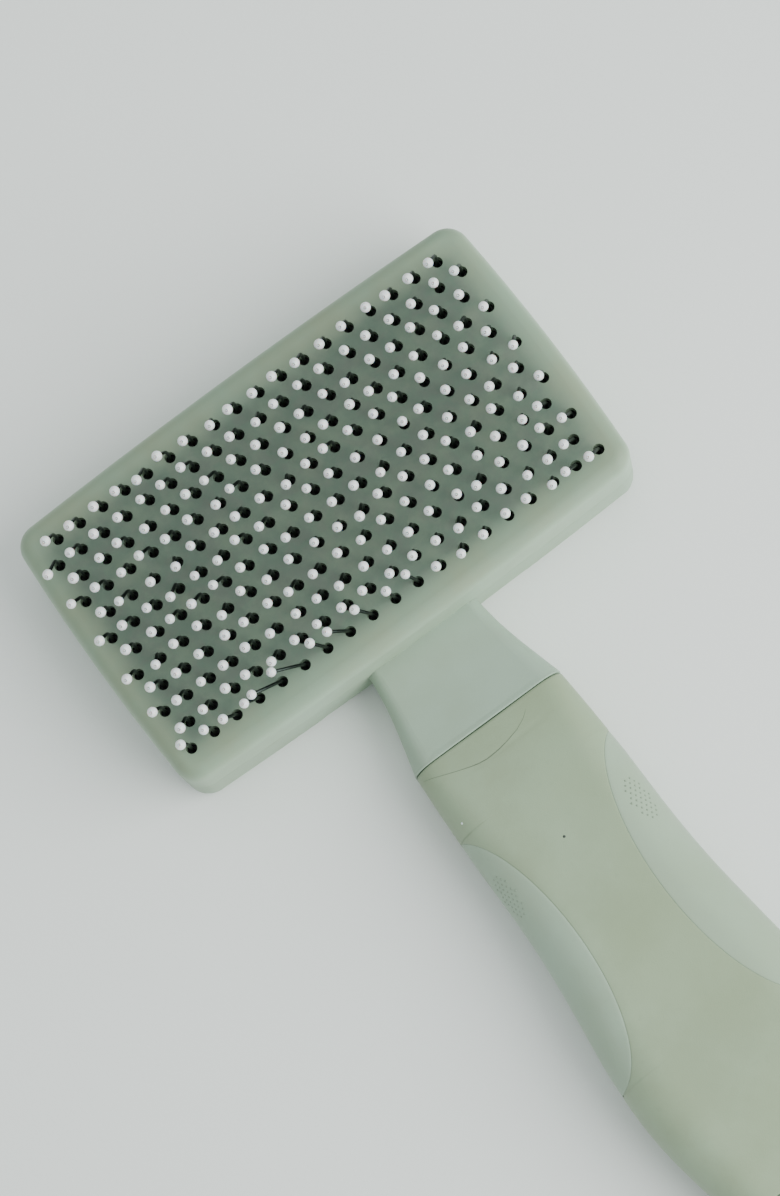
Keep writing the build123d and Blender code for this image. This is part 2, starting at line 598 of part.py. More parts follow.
with BuildPart() as latch_clip:
    with BuildSketch(Plane.XY.offset(clip_foot_z)):
        with Locations((0, (CLIP_FRONT_Y + CLIP_FOOT_BACK_Y) / 2)):
            Rectangle(2 * CLIP_FOOT_HALF_WIDTH, CLIP_FOOT_BACK_Y - CLIP_FRONT_Y)
        with Locations(*RIVET_SPOTS):
            Circle(RIVET_RADIUS + PILOT_SLACK, mode=Mode.SUBTRACT)
    extrude(amount=CLIP_THICKNESS)
    with BuildSketch(Plane.YZ):
        with BuildLine():
            Polyline(
                (CLIP_FRONT_Y, clip_foot_z),
                (CLIP_FRONT_Y, CLIP_LIP_Z),
                (clip_lip_y, CLIP_LIP_Z),
                (clip_lip_y, CLIP_LIP_Z + CLIP_THICKNESS),
                (clip_back_y, CLIP_LIP_Z + CLIP_THICKNESS),
                (clip_back_y, clip_foot_z),
                close=True,
            )
        make_face()
    extrude(amount=CLIP_HALF_WIDTH, both=True)
save(latch_clip, "latch_clip")

with BuildPart() as latch_rivets:
    posts(RIVET_SPOTS, RIVET_RADIUS, clip_foot_z, CARRIER_LOW_Z)
    posts(RIVET_SPOTS, RIVET_HEAD_RADIUS, clip_foot_z - RIVET_HEAD_HEIGHT, clip_foot_z)
    posts(RIVET_SPOTS, RIVET_HEAD_RADIUS, CARRIER_LOW_Z, CARRIER_LOW_Z + RIVET_HEAD_HEIGHT)
save(latch_rivets, "latch_rivets")

# ---- latch slide: wedge tail, bar and upright finger -----------------------------------------------------
with BuildPart() as latch_slide:
    with BuildSketch(Plane.YZ):
        tail = RAMP_LINE + RAMP_GAP
        with BuildLine():
            Polyline(
                (tail - SLIDE_LOW_Z, SLIDE_LOW_Z),
                (FINGER_FRONT_Y, SLIDE_LOW_Z),
                (FINGER_FRONT_Y, FINGER_TOP_Z),
                (FINGER_BACK_Y, FINGER_TOP_Z),
                (FINGER_BACK_Y, SLIDE_HIGH_Z),
                (tail - SLIDE_HIGH_Z, SLIDE_HIGH_Z),
                close=True,
            )
        make_face()
    extrude(amount=SLIDE_HALF_WIDTH, both=True)
    with Locations((0, SLIDE_FLANGE_Y, SLIDE_AXIS_Z)):
        Box(SLIDE_FLANGE_WIDTH, SLIDE_FLANGE_THICKNESS, SLIDE_FLANGE_HEIGHT)
save(latch_slide, "latch_slide")

with BuildPart() as latch_spring:
    seat_y = SLIDE_FLANGE_Y + (SLIDE_FLANGE_THICKNESS + FIT) / 2
    seat = Plane(origin=(0, seat_y, SLIDE_AXIS_Z), x_dir=(1, 0, 0), z_dir=(0, 1, 0))
    room = -HEAD_WIDTH / 2 - seat_y - FIT
    add(coil(LATCH_SPRING_RADIUS, LATCH_SPRING_WIRE, LATCH_SPRING_TURNS, room, seat))
save(latch_spring, "latch_spring")

# ---- release button on the back of the neck ---------------------------------------------------------------
with BuildPart() as release_button:
    ramp_low_z = BUTTON_FLANGE_Z + BUTTON_FLANGE_THICKNESS
    ramp_top_z = SLIDE_HIGH_Z - RAMP_GAP
    with BuildSketch(Plane.XY.offset(BUTTON_LOW_Z)):
        with Locations((0, BUTTON_Y)):
            RectangleRounded(BUTTON_WIDTH, BUTTON_LENGTH, BUTTON_CORNER)
    extrude(amount=ramp_low_z - BUTTON_LOW_Z)
    fillet(release_button.faces().sort_by(Axis.Z)[0].edges(), SMALL_EDGE_RADIUS)
    flange_width = BUTTON_WIDTH + 2 * BUTTON_FLANGE
    flange_length = BUTTON_LENGTH + 2 * BUTTON_FLANGE
    with BuildSketch(Plane.XY.offset(BUTTON_FLANGE_Z)):
        with Locations((0, BUTTON_Y)):
            RectangleRounded(flange_width, flange_length, BUTTON_CORNER + BUTTON_FLANGE)
    extrude(amount=BUTTON_FLANGE_THICKNESS)
    # wedge that drives the latch slide
    with BuildSketch(Plane.YZ):
        with BuildLine():
            Polyline(
                (RAMP_BACK_Y, BUTTON_FLANGE_Z),
                (RAMP_LINE - ramp_low_z, BUTTON_FLANGE_Z),
                (RAMP_LINE - ramp_low_z, ramp_low_z),
                (RAMP_LINE - ramp_top_z, ramp_top_z),
                (RAMP_BACK_Y, ramp_top_z),
                close=True,
            )
        make_face()
    extrude(amount=RAMP_HALF_WIDTH, both=True)
save(release_button, "release_button")

# ---- screws ---------------------------------------------------------------------------------
with BuildPart() as head_screws:
    copies(HEAD_SCREW_SPOTS, HEAD_SCREW_Z, screw(*LARGE_SCREW))
save(head_screws, "head_screws")

with BuildPart() as neck_screws:
    copies(NECK_SCREW_SPOTS, NECK_SCREW_Z, screw(*MEDIUM_SCREW))
save(neck_screws, "neck_screws")

with BuildPart() as handle_screws:
    copies(HANDLE_SCREW_SPOTS, CORE_SCREW_Z, screw(*MEDIUM_SCREW))
save(handle_screws, "handle_screws")
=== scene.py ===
"""Looks of the self-cleaning slicker brush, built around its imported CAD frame.

Lengths are written in millimetres and turned into metres by MM, except where a comment says
metres and in the materials. The frame is the CAD's: +Z out through the pins, +Y away from the
handle, the floor at Z = 0.
"""

import json
import math
import random

import bpy
import numpy as np
from mathutils import Matrix, Vector
from mathutils.bvhtree import BVHTree


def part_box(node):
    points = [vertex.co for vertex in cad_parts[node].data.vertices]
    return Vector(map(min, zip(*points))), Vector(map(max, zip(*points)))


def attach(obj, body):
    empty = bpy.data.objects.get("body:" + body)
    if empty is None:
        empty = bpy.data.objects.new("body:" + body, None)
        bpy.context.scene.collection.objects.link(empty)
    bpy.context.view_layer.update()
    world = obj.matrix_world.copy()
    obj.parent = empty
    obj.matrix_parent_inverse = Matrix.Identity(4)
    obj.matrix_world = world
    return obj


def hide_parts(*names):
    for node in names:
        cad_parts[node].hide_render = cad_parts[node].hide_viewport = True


MM = 0.001

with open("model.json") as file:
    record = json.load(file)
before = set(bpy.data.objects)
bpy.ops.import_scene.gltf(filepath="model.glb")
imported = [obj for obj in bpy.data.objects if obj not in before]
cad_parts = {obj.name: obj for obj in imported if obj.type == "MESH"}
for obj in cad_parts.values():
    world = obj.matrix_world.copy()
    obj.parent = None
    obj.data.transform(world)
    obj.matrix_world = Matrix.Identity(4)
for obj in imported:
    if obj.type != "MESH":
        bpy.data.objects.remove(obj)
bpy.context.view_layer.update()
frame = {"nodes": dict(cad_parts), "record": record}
NODES = frame["nodes"]

# ---- the object's sizes that the looks need --------------------------------------------
FACE_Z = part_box("face_shell")[1].z / MM
SLEEVE_LOW, SLEEVE_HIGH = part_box("grip_sleeve")
GRIP_START = SLEEVE_HIGH.y / MM
GRIP_END = SLEEVE_LOW.y / MM

ROWS = 12
PIN_PITCH = 5.1
ROW_PITCH = 4.25
WIRE_RADIUS = 0.33
TIP_RADIUS = 0.93
PIN_ROOT_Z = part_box("pins_row_01")[0].z / MM

# =========================================================================================
# camera
# =========================================================================================
CAMERA_AIM = (-0.8, -22.7)  # point of the face plane on the lens axis
CAMERA_DISTANCE = 654.0
SENSOR_LENGTH = 36.0  # long side of the sensor
LENS_LENGTH = 108.361204  # focal length for that sensor
LENS_LEAN_X = 1.9  # degrees that the lens axis leans from straight down, towards +X
LENS_LEAN_Y = 13.1  # and towards +Y
IMAGE_UP_FROM_X = 54.13  # degrees from +X to the top of the picture


def make_camera():
    """Camera above the handle, looking down on the pins, turned as the brush lies."""
    data = bpy.data.cameras.new("camera")
    data.sensor_width = SENSOR_LENGTH
    data.lens = LENS_LENGTH
    camera = bpy.data.objects.new("camera", data)
    bpy.context.scene.collection.objects.link(camera)
    forward = Vector(
        (math.tan(math.radians(LENS_LEAN_X)), math.tan(math.radians(LENS_LEAN_Y)), -1.0)
    ).normalized()
    turn = math.radians(IMAGE_UP_FROM_X)
    up = Vector((math.cos(turn), math.sin(turn), 0.0))
    up = (up - forward * up.dot(forward)).normalized()
    right = forward.cross(up)
    axes = Matrix((right, up, -forward)).transposed()
    aim = Vector((CAMERA_AIM[0], CAMERA_AIM[1], FACE_Z))
    camera.location = (aim - forward * CAMERA_DISTANCE) * MM
    camera.rotation_mode = "QUATERNION"
    camera.rotation_quaternion = axes.to_quaternion()
    data.clip_start = 0.01
    data.clip_end = 10.0
    bpy.context.scene.camera = camera


make_camera()

# =========================================================================================
# materials
# =========================================================================================


class Shader:
    """A node material with a Principled shader, and short ways to add nodes to it."""

    def __init__(self, name):
        self.material = bpy.data.materials.new(name)
        self.material.use_nodes = True
        self.nodes = self.material.node_tree.nodes
        self.links = self.material.node_tree.links
        self.bsdf = self.nodes["Principled BSDF"]
        self.coords = self.nodes.new("ShaderNodeTexCoord").outputs["Object"]

    def set(self, **values):
        for key, value in values.items():
            self.bsdf.inputs[key.replace("_", " ")].default_value = value

    def link(self, source, target):
        self.links.new(source, target)

    def node(self, kind, **settings):
        node = self.nodes.new(kind)
        for key, value in settings.items():
            setattr(node, key, value)
        return node

    def noise(self, scale, detail=2.0, roughness=0.5, distortion=0.0):
        node = self.node("ShaderNodeTexNoise")
        node.inputs["Scale"].default_value = scale
        node.inputs["Detail"].default_value = detail
        node.inputs["Roughness"].default_value = roughness
        node.inputs["Distortion"].default_value = distortion
        self.link(self.coords, node.inputs["Vector"])
        return node.outputs["Fac"]

    def ramp(self, value, low, high, from_low=0.0, from_high=1.0):
        node = self.node("ShaderNodeMapRange", interpolation_type="SMOOTHSTEP")
        node.inputs["From Min"].default_value = from_low
        node.inputs["From Max"].default_value = from_high
        node.inputs["To Min"].default_value = low
        node.inputs["To Max"].default_value = high
        self.link(value, node.inputs["Value"])
        return node.outputs["Result"]

    def math(self, operation, first, second):
        node = self.node("ShaderNodeMath", operation=operation)
        for socket, value in zip(node.inputs, (first, second)):
            if isinstance(value, (int, float)):
                socket.default_value = value
            else:
                self.link(value, socket)
        return node.outputs[0]

    def mix(self, factor, first, second):
        """Blend of two colours, given as sockets or as RGB triples."""
        node = self.node("ShaderNodeMix", data_type="RGBA")
        self.link(factor, node.inputs["Factor"])
        for socket, value in ((node.inputs[6], first), (node.inputs[7], second)):
            if isinstance(value, tuple):
                socket.default_value = (*value, 1.0)
            else:
                self.link(value, socket)
        return node.outputs[2]

    def axis(self, name):
        node = self.node("ShaderNodeSeparateXYZ")
        self.link(self.coords, node.inputs[0])
        return node.outputs[name]

    def bump(self, height, distance, strength=1.0, after=None):
        node = self.node("ShaderNodeBump")
        node.inputs["Strength"].default_value = strength
        node.inputs["Distance"].default_value = distance
        self.link(height, node.inputs["Height"])
        if after is not None:
            self.link(after, node.inputs["Normal"])
        return node.outputs["Normal"]


def shade(colour, factor):
    """The same colour, lighter or darker."""
    return tuple(min(1.0, channel * factor) for channel in colour)


def tint(colour, red, green, blue):
    return (colour[0] * red, colour[1] * green, colour[2] * blue)


def moulded_plastic(name, colour, roughness=0.5, grain=0.00002, mottling=0.06, warmth=0.03):
    """Matte moulded plastic: cloudy colour, fine spark-eroded grain, a little dust."""
    s = Shader(name)
    cloud = s.ramp(s.noise(60.0, 4.0, 0.6), 0.0, 1.0, 0.3, 0.7)
    light = shade(colour, 1.0 + mottling)
    dark = tint(shade(colour, 1.0 - mottling), 1.0 + warmth, 1.0, 1.0 - warmth)
    base = s.mix(cloud, dark, light)
    speck = s.ramp(s.noise(2600.0, 1.0), 0.0, 0.10, 0.62, 0.80)
    base = s.mix(speck, base, shade(colour, 1.25))
    s.link(base, s.bsdf.inputs["Base Color"])
    s.link(s.ramp(s.noise(220.0, 3.0), roughness - 0.05, roughness + 0.06), s.bsdf.inputs["Roughness"])
    fine = s.bump(s.noise(5200.0, 2.0, 0.6), grain)
    s.link(s.bump(s.noise(90.0, 2.0), 0.00006, 0.6, after=fine), s.bsdf.inputs["Normal"])
    s.set(IOR=1.46)
    return s


# the darker field between the pins, painted shade of the pins, in metres: axis, half width and width of
# its soft border
PIN_SHADE_BORDERS = (("X", 0.0495, 0.006), ("Y", 0.0268, 0.0055))
# heights, in metres, between which the walls' lighter colour (painted light) turns into the face's
# darker one (painted shade), and the painted shade between the pins comes in
LIT_WALL_TOP = (0.0175, 0.0199)
PIN_SHADE_TOP = (0.0188, 0.0199)


def face_plastic_with_painted_light(name, colour, shaded_top_colour, pin_shade_colour):
    """The shell's plastic: lighter on the walls as painted light, darker on the face as painted shade,
    and darker still between the pins as painted shade of the pins.
    """
    s = moulded_plastic(name, colour, roughness=0.52)
    lit_walls = s.bsdf.inputs["Base Color"].links[0].from_socket
    patch = s.ramp(s.noise(70.0, 4.0, 0.6), 0.0, 1.0, 0.3, 0.7)
    shaded_top_base = s.mix(patch, tint(shaded_top_colour, 1.06, 0.99, 0.94), tint(shaded_top_colour, 0.98, 1.03, 1.04))
    # the walls' lighter colour is painted light, the face's darker one painted shade
    base = s.mix(s.ramp(s.axis("Z"), 0.0, 1.0, *LIT_WALL_TOP), lit_walls, shaded_top_base)
    inside = None
    # painted shade of the pins on the face between them
    for axis, half, soft in PIN_SHADE_BORDERS:
        distance = s.math("ABSOLUTE", s.axis(axis), 0.0)
        edge = s.ramp(distance, 1.0, 0.0, half - soft, half)
        inside = edge if inside is None else s.math("MULTIPLY", inside, edge)
    top = s.ramp(s.axis("Z"), 0.0, 1.0, *PIN_SHADE_TOP)
    inside = s.math("MULTIPLY", inside, top)
    uneven = s.ramp(s.noise(140.0, 5.0, 0.65), 0.72, 1.0, 0.3, 0.62)
    inside = s.math("MULTIPLY", inside, uneven)
    grey = s.ramp(s.noise(260.0, 3.0, 0.6, 0.6), 0.0, 1.0, 0.40, 0.64)
    pin_shade = s.mix(grey, pin_shade_colour, tint(pin_shade_colour, 1.12, 0.97, 1.03))
    s.link(s.mix(inside, base, pin_shade), s.bsdf.inputs["Base Color"])
    return s


def soft_rubber(name, colour, roughness=0.62, mottling=0.05):
    """Soft-touch rubber: silky, slightly uneven, with a faint sheen."""
    s = Shader(name)
    cloud = s.ramp(s.noise(45.0, 5.0, 0.6), 0.0, 1.0, 0.32, 0.68)
    base = s.mix(cloud, tint(shade(colour, 1 - mottling), 1.03, 1.0, 0.96), shade(colour, 1 + mottling))
    patch = s.ramp(s.noise(17.0, 3.0, 0.5), 0.0, 0.5, 0.42, 0.66)
    base = s.mix(patch, base, tint(colour, 0.96, 0.92, 0.80))
    spot = s.ramp(s.noise(700.0, 2.0), 0.0, 0.16, 0.60, 0.78)
    base = s.mix(spot, base, shade(colour, 0.82))
    s.link(base, s.bsdf.inputs["Base Color"])
    s.link(s.ramp(s.noise(160.0, 3.0), roughness - 0.05, roughness + 0.07), s.bsdf.inputs["Roughness"])
    fine = s.bump(s.noise(3800.0, 2.0, 0.6), 0.000025)
    s.link(s.bump(s.noise(120.0, 3.0), 0.00008, 0.5, after=fine), s.bsdf.inputs["Normal"])
    s.set(Sheen_Weight=0.12, Sheen_Roughness=0.5, IOR=1.42)
    return s


def metal(name, colour, roughness, streaks=900.0):
    """Drawn or stamped steel, streaked along its length."""
    s = Shader(name)
    wear = s.ramp(s.noise(streaks, 3.0), 0.0, 1.0, 0.35, 0.7)
    s.link(s.mix(wear, shade(colour, 0.8), shade(colour, 1.15)), s.bsdf.inputs["Base Color"])
    uneven = s.ramp(s.noise(streaks * 2, 2.0), roughness - 0.07, roughness + 0.1)
    s.link(uneven, s.bsdf.inputs["Roughness"])
    s.link(s.bump(s.noise(streaks * 4, 2.0), 0.00001), s.bsdf.inputs["Normal"])
    s.set(Metallic=1.0)
    return s


def dipped_tip(name, colour):
    """Ball of dipped resin: off-white, slightly see-through, with a wavy skin."""
    s = Shader(name)
    swirl = s.ramp(s.noise(900.0, 3.0, 0.55, 1.4), 0.0, 1.0, 0.35, 0.68)
    s.link(s.mix(swirl, tint(colour, 0.88, 0.90, 0.90), colour), s.bsdf.inputs["Base Color"])
    s.link(s.ramp(s.noise(1500.0, 2.0), 0.2, 0.38), s.bsdf.inputs["Roughness"])
    s.link(s.bump(s.noise(1100.0, 2.0, 0.5, 1.0), 0.00012, 0.7), s.bsdf.inputs["Normal"])
    s.set(IOR=1.5, Subsurface_Weight=0.15, Subsurface_Scale=0.0006)
    return s


def dark_moulding(name, colour):
    """Glass-filled inner moulding."""
    s = Shader(name)
    base = s.mix(s.noise(500.0, 3.0), shade(colour, 0.7), shade(colour, 1.5))
    s.link(base, s.bsdf.inputs["Base Color"])
    s.link(s.bump(s.noise(2500.0, 2.0), 0.00003), s.bsdf.inputs["Normal"])
    s.set(Roughness=0.6)
    return s


SHELL_GREEN = (0.300, 0.405, 0.300)
# a lighter copy of the shell's green: painted light on the face shell's walls
LIT_WALL_GREEN = (0.325, 0.440, 0.325)
# a darker copy of it: painted shade on the face shell's flat face
SHADED_FACE_GREEN = (0.198, 0.275, 0.186)
NECK_GREEN = (0.280, 0.378, 0.290)
# darker still: painted shade between the pins
PIN_SHADE_GREEN = (0.086, 0.136, 0.096)
GRIP_GREEN = (0.254, 0.340, 0.222)
PAD_GREEN = (0.286, 0.388, 0.288)
PLATE_WHITE = (0.66, 0.70, 0.66)

SHELL = moulded_plastic("shell_plastic", SHELL_GREEN).material
FACE_WITH_PAINTED_LIGHT = face_plastic_with_painted_light("face_plastic_with_painted_light", LIT_WALL_GREEN, SHADED_FACE_GREEN, PIN_SHADE_GREEN).material
NECK = moulded_plastic("neck_plastic", NECK_GREEN, mottling=0.05).material
PLATE = moulded_plastic("plate_plastic", PLATE_WHITE, roughness=0.45).material
GRIP = soft_rubber("grip_rubber", GRIP_GREEN, mottling=0.08).material
PAD = soft_rubber("pad_rubber", PAD_GREEN).material
WIRE = metal("pin_wire", (0.030, 0.040, 0.035), 0.34).material
SPRING = metal("spring_steel", (0.55, 0.56, 0.57), 0.3).material
SCREW = metal("screw_steel", (0.62, 0.62, 0.61), 0.28, 500.0).material
TIP = dipped_tip("pin_tip", (0.80, 0.83, 0.81)).material
CARRIER = dark_moulding("carrier_plastic", (0.020, 0.028, 0.023)).material
SCRATCH = soft_rubber("scratch", shade(GRIP_GREEN, 0.42)).material
# a darker copy of the pad's rubber: painted shade round the small dots
SHADED_DOT = soft_rubber("dot_rubber_painted_shade", shade(PAD_GREEN, 0.74)).material

SLOT_MATERIALS = {
    "shell_plastic": SHELL,
    "plate_plastic": PLATE,
    "grip_rubber": GRIP,
    "pad_rubber": PAD,
    "carrier_plastic": CARRIER,
    "pin_wire": WIRE,
    "pin_tip": TIP,
    "spring_steel": SPRING,
    "screw_steel": SCREW,
}


NODE_MATERIALS = {"face_shell": FACE_WITH_PAINTED_LIGHT, "handle_front": NECK}  # these two differ from their slot


def finish_cad_nodes():
    """Give every CAD node its own material or that of its slot."""
    for part in frame["record"]["subparts"]:
        node = NODES[part["node"]]
        material = NODE_MATERIALS.get(part["node"], SLOT_MATERIALS[part["material_slot"]])
        node.data.materials.clear()
        node.data.materials.append(material)


finish_cad_nodes()

# =========================================================================================
# mesh helpers
# =========================================================================================


def add_piece(name, points, faces, material, body, slot, smooth=True):
    """New piece from points in millimetres, riding on a body."""
    mesh = bpy.data.meshes.new(name)
    mesh.from_pydata([tuple(float(c) * MM for c in p) for p in points], [], faces)
    mesh.validate()
    mesh.materials.append(material)
    mesh.polygons.foreach_set("use_smooth", [smooth] * len(mesh.polygons))
    mesh.update()
    piece = bpy.data.objects.new(name, mesh)
    bpy.context.scene.collection.objects.link(piece)
    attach(piece, body)
    return piece


def grid_faces(rows, columns, closed=False, start=0):
    """Quads of a grid of points, row after row; closed joins the last column to the first."""
    faces = []
    for i in range(rows - 1):
        for j in range(columns if closed else columns - 1):
            k = (j + 1) % columns
            a = start + i * columns
            b = a + columns
            faces.append((a + j, a + k, b + k, b + j))
    return faces


def smooth_step(value, low, high):
    """0 below low, 1 above high, smooth between."""
    t = np.clip((value - low) / (high - low), 0.0, 1.0)
    return t * t * (3 - 2 * t)


# =========================================================================================
# pins with their ball tips
# =========================================================================================
PIN_SEED = 7
KNEE_HEIGHT = 4.6  # above the face
BENT_KNEE_HEIGHT = 0.8  # the same for a pin bent in use
BEND_REACH = 1.4  # length of wire that the bend takes on each side of the knee
BEND_STEPS = 6
STRAIGHT_BELOW_FACE = 1.5
LEAN_X = -1.65  # of a tip from its hole
LEAN_Y = -2.05
SCATTER = 0.38
TIP_RISE = 9.98  # middle of a tip above the face; the tips reach the face when the pins are in
TIP_SCATTER = 0.03  # share of the radius
TIP_DIMPLE = (0.02, 0.10)  # smallest and largest depth of a tip's dimple, as a share of the radius
EDGE_TIP_GROWTH = 1.05  # tips of the first row and column are a little larger
TIP_STRETCH = 1.04  # towards the wire
DIMPLE_ANGLE = 0.30
# pins bent in use, as row, column and lean of the tip
BENT_PINS = {
    (12, 2): (-2.3, -1.4),
    (12, 3): (-2.7, -1.4),
    (12, 4): (-5.8, -0.9),
    (12, 5): (-5.7, 0.3),
    (12, 6): (-2.2, 0.4),
    (12, 7): (-3.6, 0.2),
    (12, 8): (-2.4, 0.5),
    (12, 9): (-1.0, -0.2),
    (12, 10): (-1.5, 0.2),
    (12, 17): (-3.2, -2.0),
    (12, 18): (-3.3, -2.3),
    (11, 17): (-3.0, -2.0),
    (10, 18): (-2.9, -2.1),
    (9, 17): (-2.6, -1.9),
}
UPRIGHT_PINS = {(12, 0): (-0.9, -0.6), (12, 1): (-1.1, -0.9)}


def pin_spots(row):
    """Where the pins of a row stand, in millimetres; row 1 is away from the handle."""
    count = 18 if row % 2 else 19
    y = ((ROWS + 1) / 2 - row) * ROW_PITCH
    return [((i - (count - 1) / 2) * PIN_PITCH, y) for i in range(count)]


def pin_path(x, y, lean, hard_bend):
    """Points along a wire from its seat to the middle of its tip."""
    lean_x, lean_y = lean
    knee = BENT_KNEE_HEIGHT if hard_bend else KNEE_HEIGHT
    path = [Vector((x, y, PIN_ROOT_Z)), Vector((x, y, FACE_Z - STRAIGHT_BELOW_FACE))]
    rest = Vector((x, y, FACE_Z + knee))
    end = Vector((x + lean_x, y + lean_y, FACE_Z + TIP_RISE))
    before = Vector((x, y, FACE_Z + knee - BEND_REACH))
    after = rest + (end - rest).normalized() * BEND_REACH
    for i in range(BEND_STEPS + 1):
        t = i / BEND_STEPS
        path.append(before * (1 - t) ** 2 + rest * 2 * t * (1 - t) + after * t * t)
    path.append(end)
    return path


def tube(path, radius, sides=8):
    """Points and faces of a round wire along a path."""
    points = []
    for i, p in enumerate(path):
        ahead = path[min(i + 1, len(path) - 1)] - path[max(i - 1, 0)]
        ahead.normalize()
        side = ahead.cross(Vector((0, 1, 0))).normalized()
        up = side.cross(ahead)
        for j in range(sides):
            a = 2 * math.pi * j / sides
            points.append(p + side * math.cos(a) * radius + up * math.sin(a) * radius)
    faces = grid_faces(len(path), sides, closed=True)
    faces.append(tuple(range(sides - 1, -1, -1)))
    last = (len(path) - 1) * sides
    faces.append(tuple(range(last, last + sides)))
    return points, faces


def ball(centre, axis, radius, dimple, sides=20, rings=13):
    """Ball tip, slightly dimpled at its end and drawn out towards the wire."""
    turn = axis.to_track_quat("Z", "Y")
    points = [centre + turn @ Vector((0, 0, radius * (1 - dimple)))]
    for i in range(1, rings):
        polar = math.pi * i / rings
        r = radius * (1 - dimple * math.exp(-((polar / DIMPLE_ANGLE) ** 2)))
        stretch = TIP_STRETCH if polar > math.pi / 2 else 1.0
        for j in range(sides):
            a = 2 * math.pi * j / sides
            local = Vector(
                (
                    r * math.sin(polar) * math.cos(a),
                    r * math.sin(polar) * math.sin(a),
                    r * math.cos(polar) * stretch,
                )
            )
            points.append(centre + turn @ local)
    points.append(centre + turn @ Vector((0, 0, -radius * TIP_STRETCH)))
    faces = [(0, 1 + j, 1 + (j + 1) % sides) for j in range(sides)]
    faces += grid_faces(rings - 1, sides, closed=True, start=1)
    faces = [tuple(f) for f in faces]
    last = len(points) - 1
    ring = 1 + (rings - 2) * sides
    faces += [(last, ring + (j + 1) % sides, ring + j) for j in range(sides)]
    return points, faces


def make_pins():
    """One piece of wires and one of tips for each row."""
    rng = random.Random(PIN_SEED)
    for row in range(1, ROWS + 1):
        wires, tips = ([], []), ([], [])
        for column, (x, y) in enumerate(pin_spots(row)):
            lean = (LEAN_X + rng.gauss(0, SCATTER), LEAN_Y + rng.gauss(0, SCATTER))
            size = TIP_RADIUS * (1 + rng.gauss(0, TIP_SCATTER))
            dimple = rng.uniform(*TIP_DIMPLE)
            if row == 1 or column == 0:
                size *= EDGE_TIP_GROWTH
            bent = (row, column) in BENT_PINS
            if bent:
                lean = BENT_PINS[(row, column)]
            lean = UPRIGHT_PINS.get((row, column), lean)
            path = pin_path(x, y, lean, bent)
            axis = (path[-1] - path[-2]).normalized()
            parts = (
                (wires, tube(path, WIRE_RADIUS)),
                (tips, ball(path[-1], axis, size, dimple)),
            )
            for (points, faces), (new_points, new_faces) in parts:
                base = len(points)
                points.extend(new_points)
                faces.extend(tuple(base + k for k in face) for face in new_faces)
        wire_piece = add_piece(f"pin_wires_{row:02d}", *wires, WIRE, "carriage", "pin_wire")
        tip_piece = add_piece(f"ball_tips_{row:02d}", *tips, TIP, "carriage", "pin_tip")
        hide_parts(f"pins_row_{row:02d}")
        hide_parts(f"tips_row_{row:02d}")


make_pins()

# =========================================================================================
# handle: grip sleeve, side pads and small marks, laid on the CAD's own outer surface
# =========================================================================================
SURVEY_STEP = 1.0
SURVEY_ANGLES = 288
SURVEYED_NODES = ("handle_front", "rear_shell", "grip_sleeve", "side_pad_left", "side_pad_right")
PROBE_X = 0.4  # the ray that finds the handle's top runs this far off the middle
PROBE_Z = 60.0  # and starts at this height
PROBE_REACH = 40.0  # distance from the axis at which the other rays start
AXIS_BASE_Z = 0.4  # the survey's axis runs midway between this height and the handle's top
GAP_DEPTH = 0.6  # a dip deeper than this in the surveyed radii is a gap, and is filled
SMOOTHINGS = 3
OUTSIDE_STEPS = 0.4  # a row may lie this many steps outside the survey
ANGLE_HALVINGS = 30
EDGE_HALVINGS = 24
WELD_CELLS = 2000  # per millimetre: closer points become one
SIDE_RADIUS = 14.0  # rough radius of the handle at its sides, to turn lengths into angles
NORMAL_PROBE_ANGLE = 0.03
NORMAL_PROBE_STEP = 0.6
# outlines of the side pads seen along Z, by side: middle X and Y, half width, half length
PADS = {-1: (21.0, -91.5, 11.2, 27.7), 1: (21.0, -94.5, 13.6, 31.0)}
SEAM_GAP = 0.18
CREASE_Y = -56.6


def survey_handle():
    """Radii of the CAD handle about its axis, on a regular net of Y and angle."""
    points, faces = [], []
    for name in SURVEYED_NODES:
        mesh = NODES[name].data
        base = len(points)
        points.extend(v.co / MM for v in mesh.vertices)
        faces.extend(tuple(base + k for k in p.vertices) for p in mesh.polygons)
    tree = BVHTree.FromPolygons(points, faces)
    ys = np.arange(GRIP_END + 0.3, GRIP_START + 2.0, SURVEY_STEP)
    angles = np.arange(SURVEY_ANGLES) * 2 * math.pi / SURVEY_ANGLES
    heights = np.zeros(len(ys))
    radii = np.zeros((len(ys), SURVEY_ANGLES))
    for i, y in enumerate(ys):
        top = tree.ray_cast(Vector((PROBE_X, y, PROBE_Z)), Vector((0, 0, -1)))[0]
        heights[i] = (top.z + AXIS_BASE_Z) / 2
        for j, a in enumerate(angles):
            out = Vector((math.cos(a), 0, math.sin(a)))
            centre = Vector((0, y, heights[i]))
            hit = tree.ray_cast(centre + out * PROBE_REACH, -out)[0]
            radii[i, j] = (hit - centre).length
    # the hair gaps round the pads and the release button's opening are smoothed over
    wide = np.maximum(radii, np.roll(radii, 1, 1))
    wide = np.maximum(wide, np.roll(radii, -1, 1))
    gap = wide - radii > GAP_DEPTH
    radii[gap] = wide[gap]
    for _ in range(SMOOTHINGS):
        around = (np.roll(radii, 1, 1) + np.roll(radii, -1, 1)) / 2
        radii = radii * 0.5 + around * 0.5
        radii[1:-1] = radii[1:-1] * 0.5 + (radii[:-2] + radii[2:]) * 0.25
    return ys, heights, radii


SURVEY_YS, SURVEY_HEIGHTS, SURVEY_RADII = survey_handle()


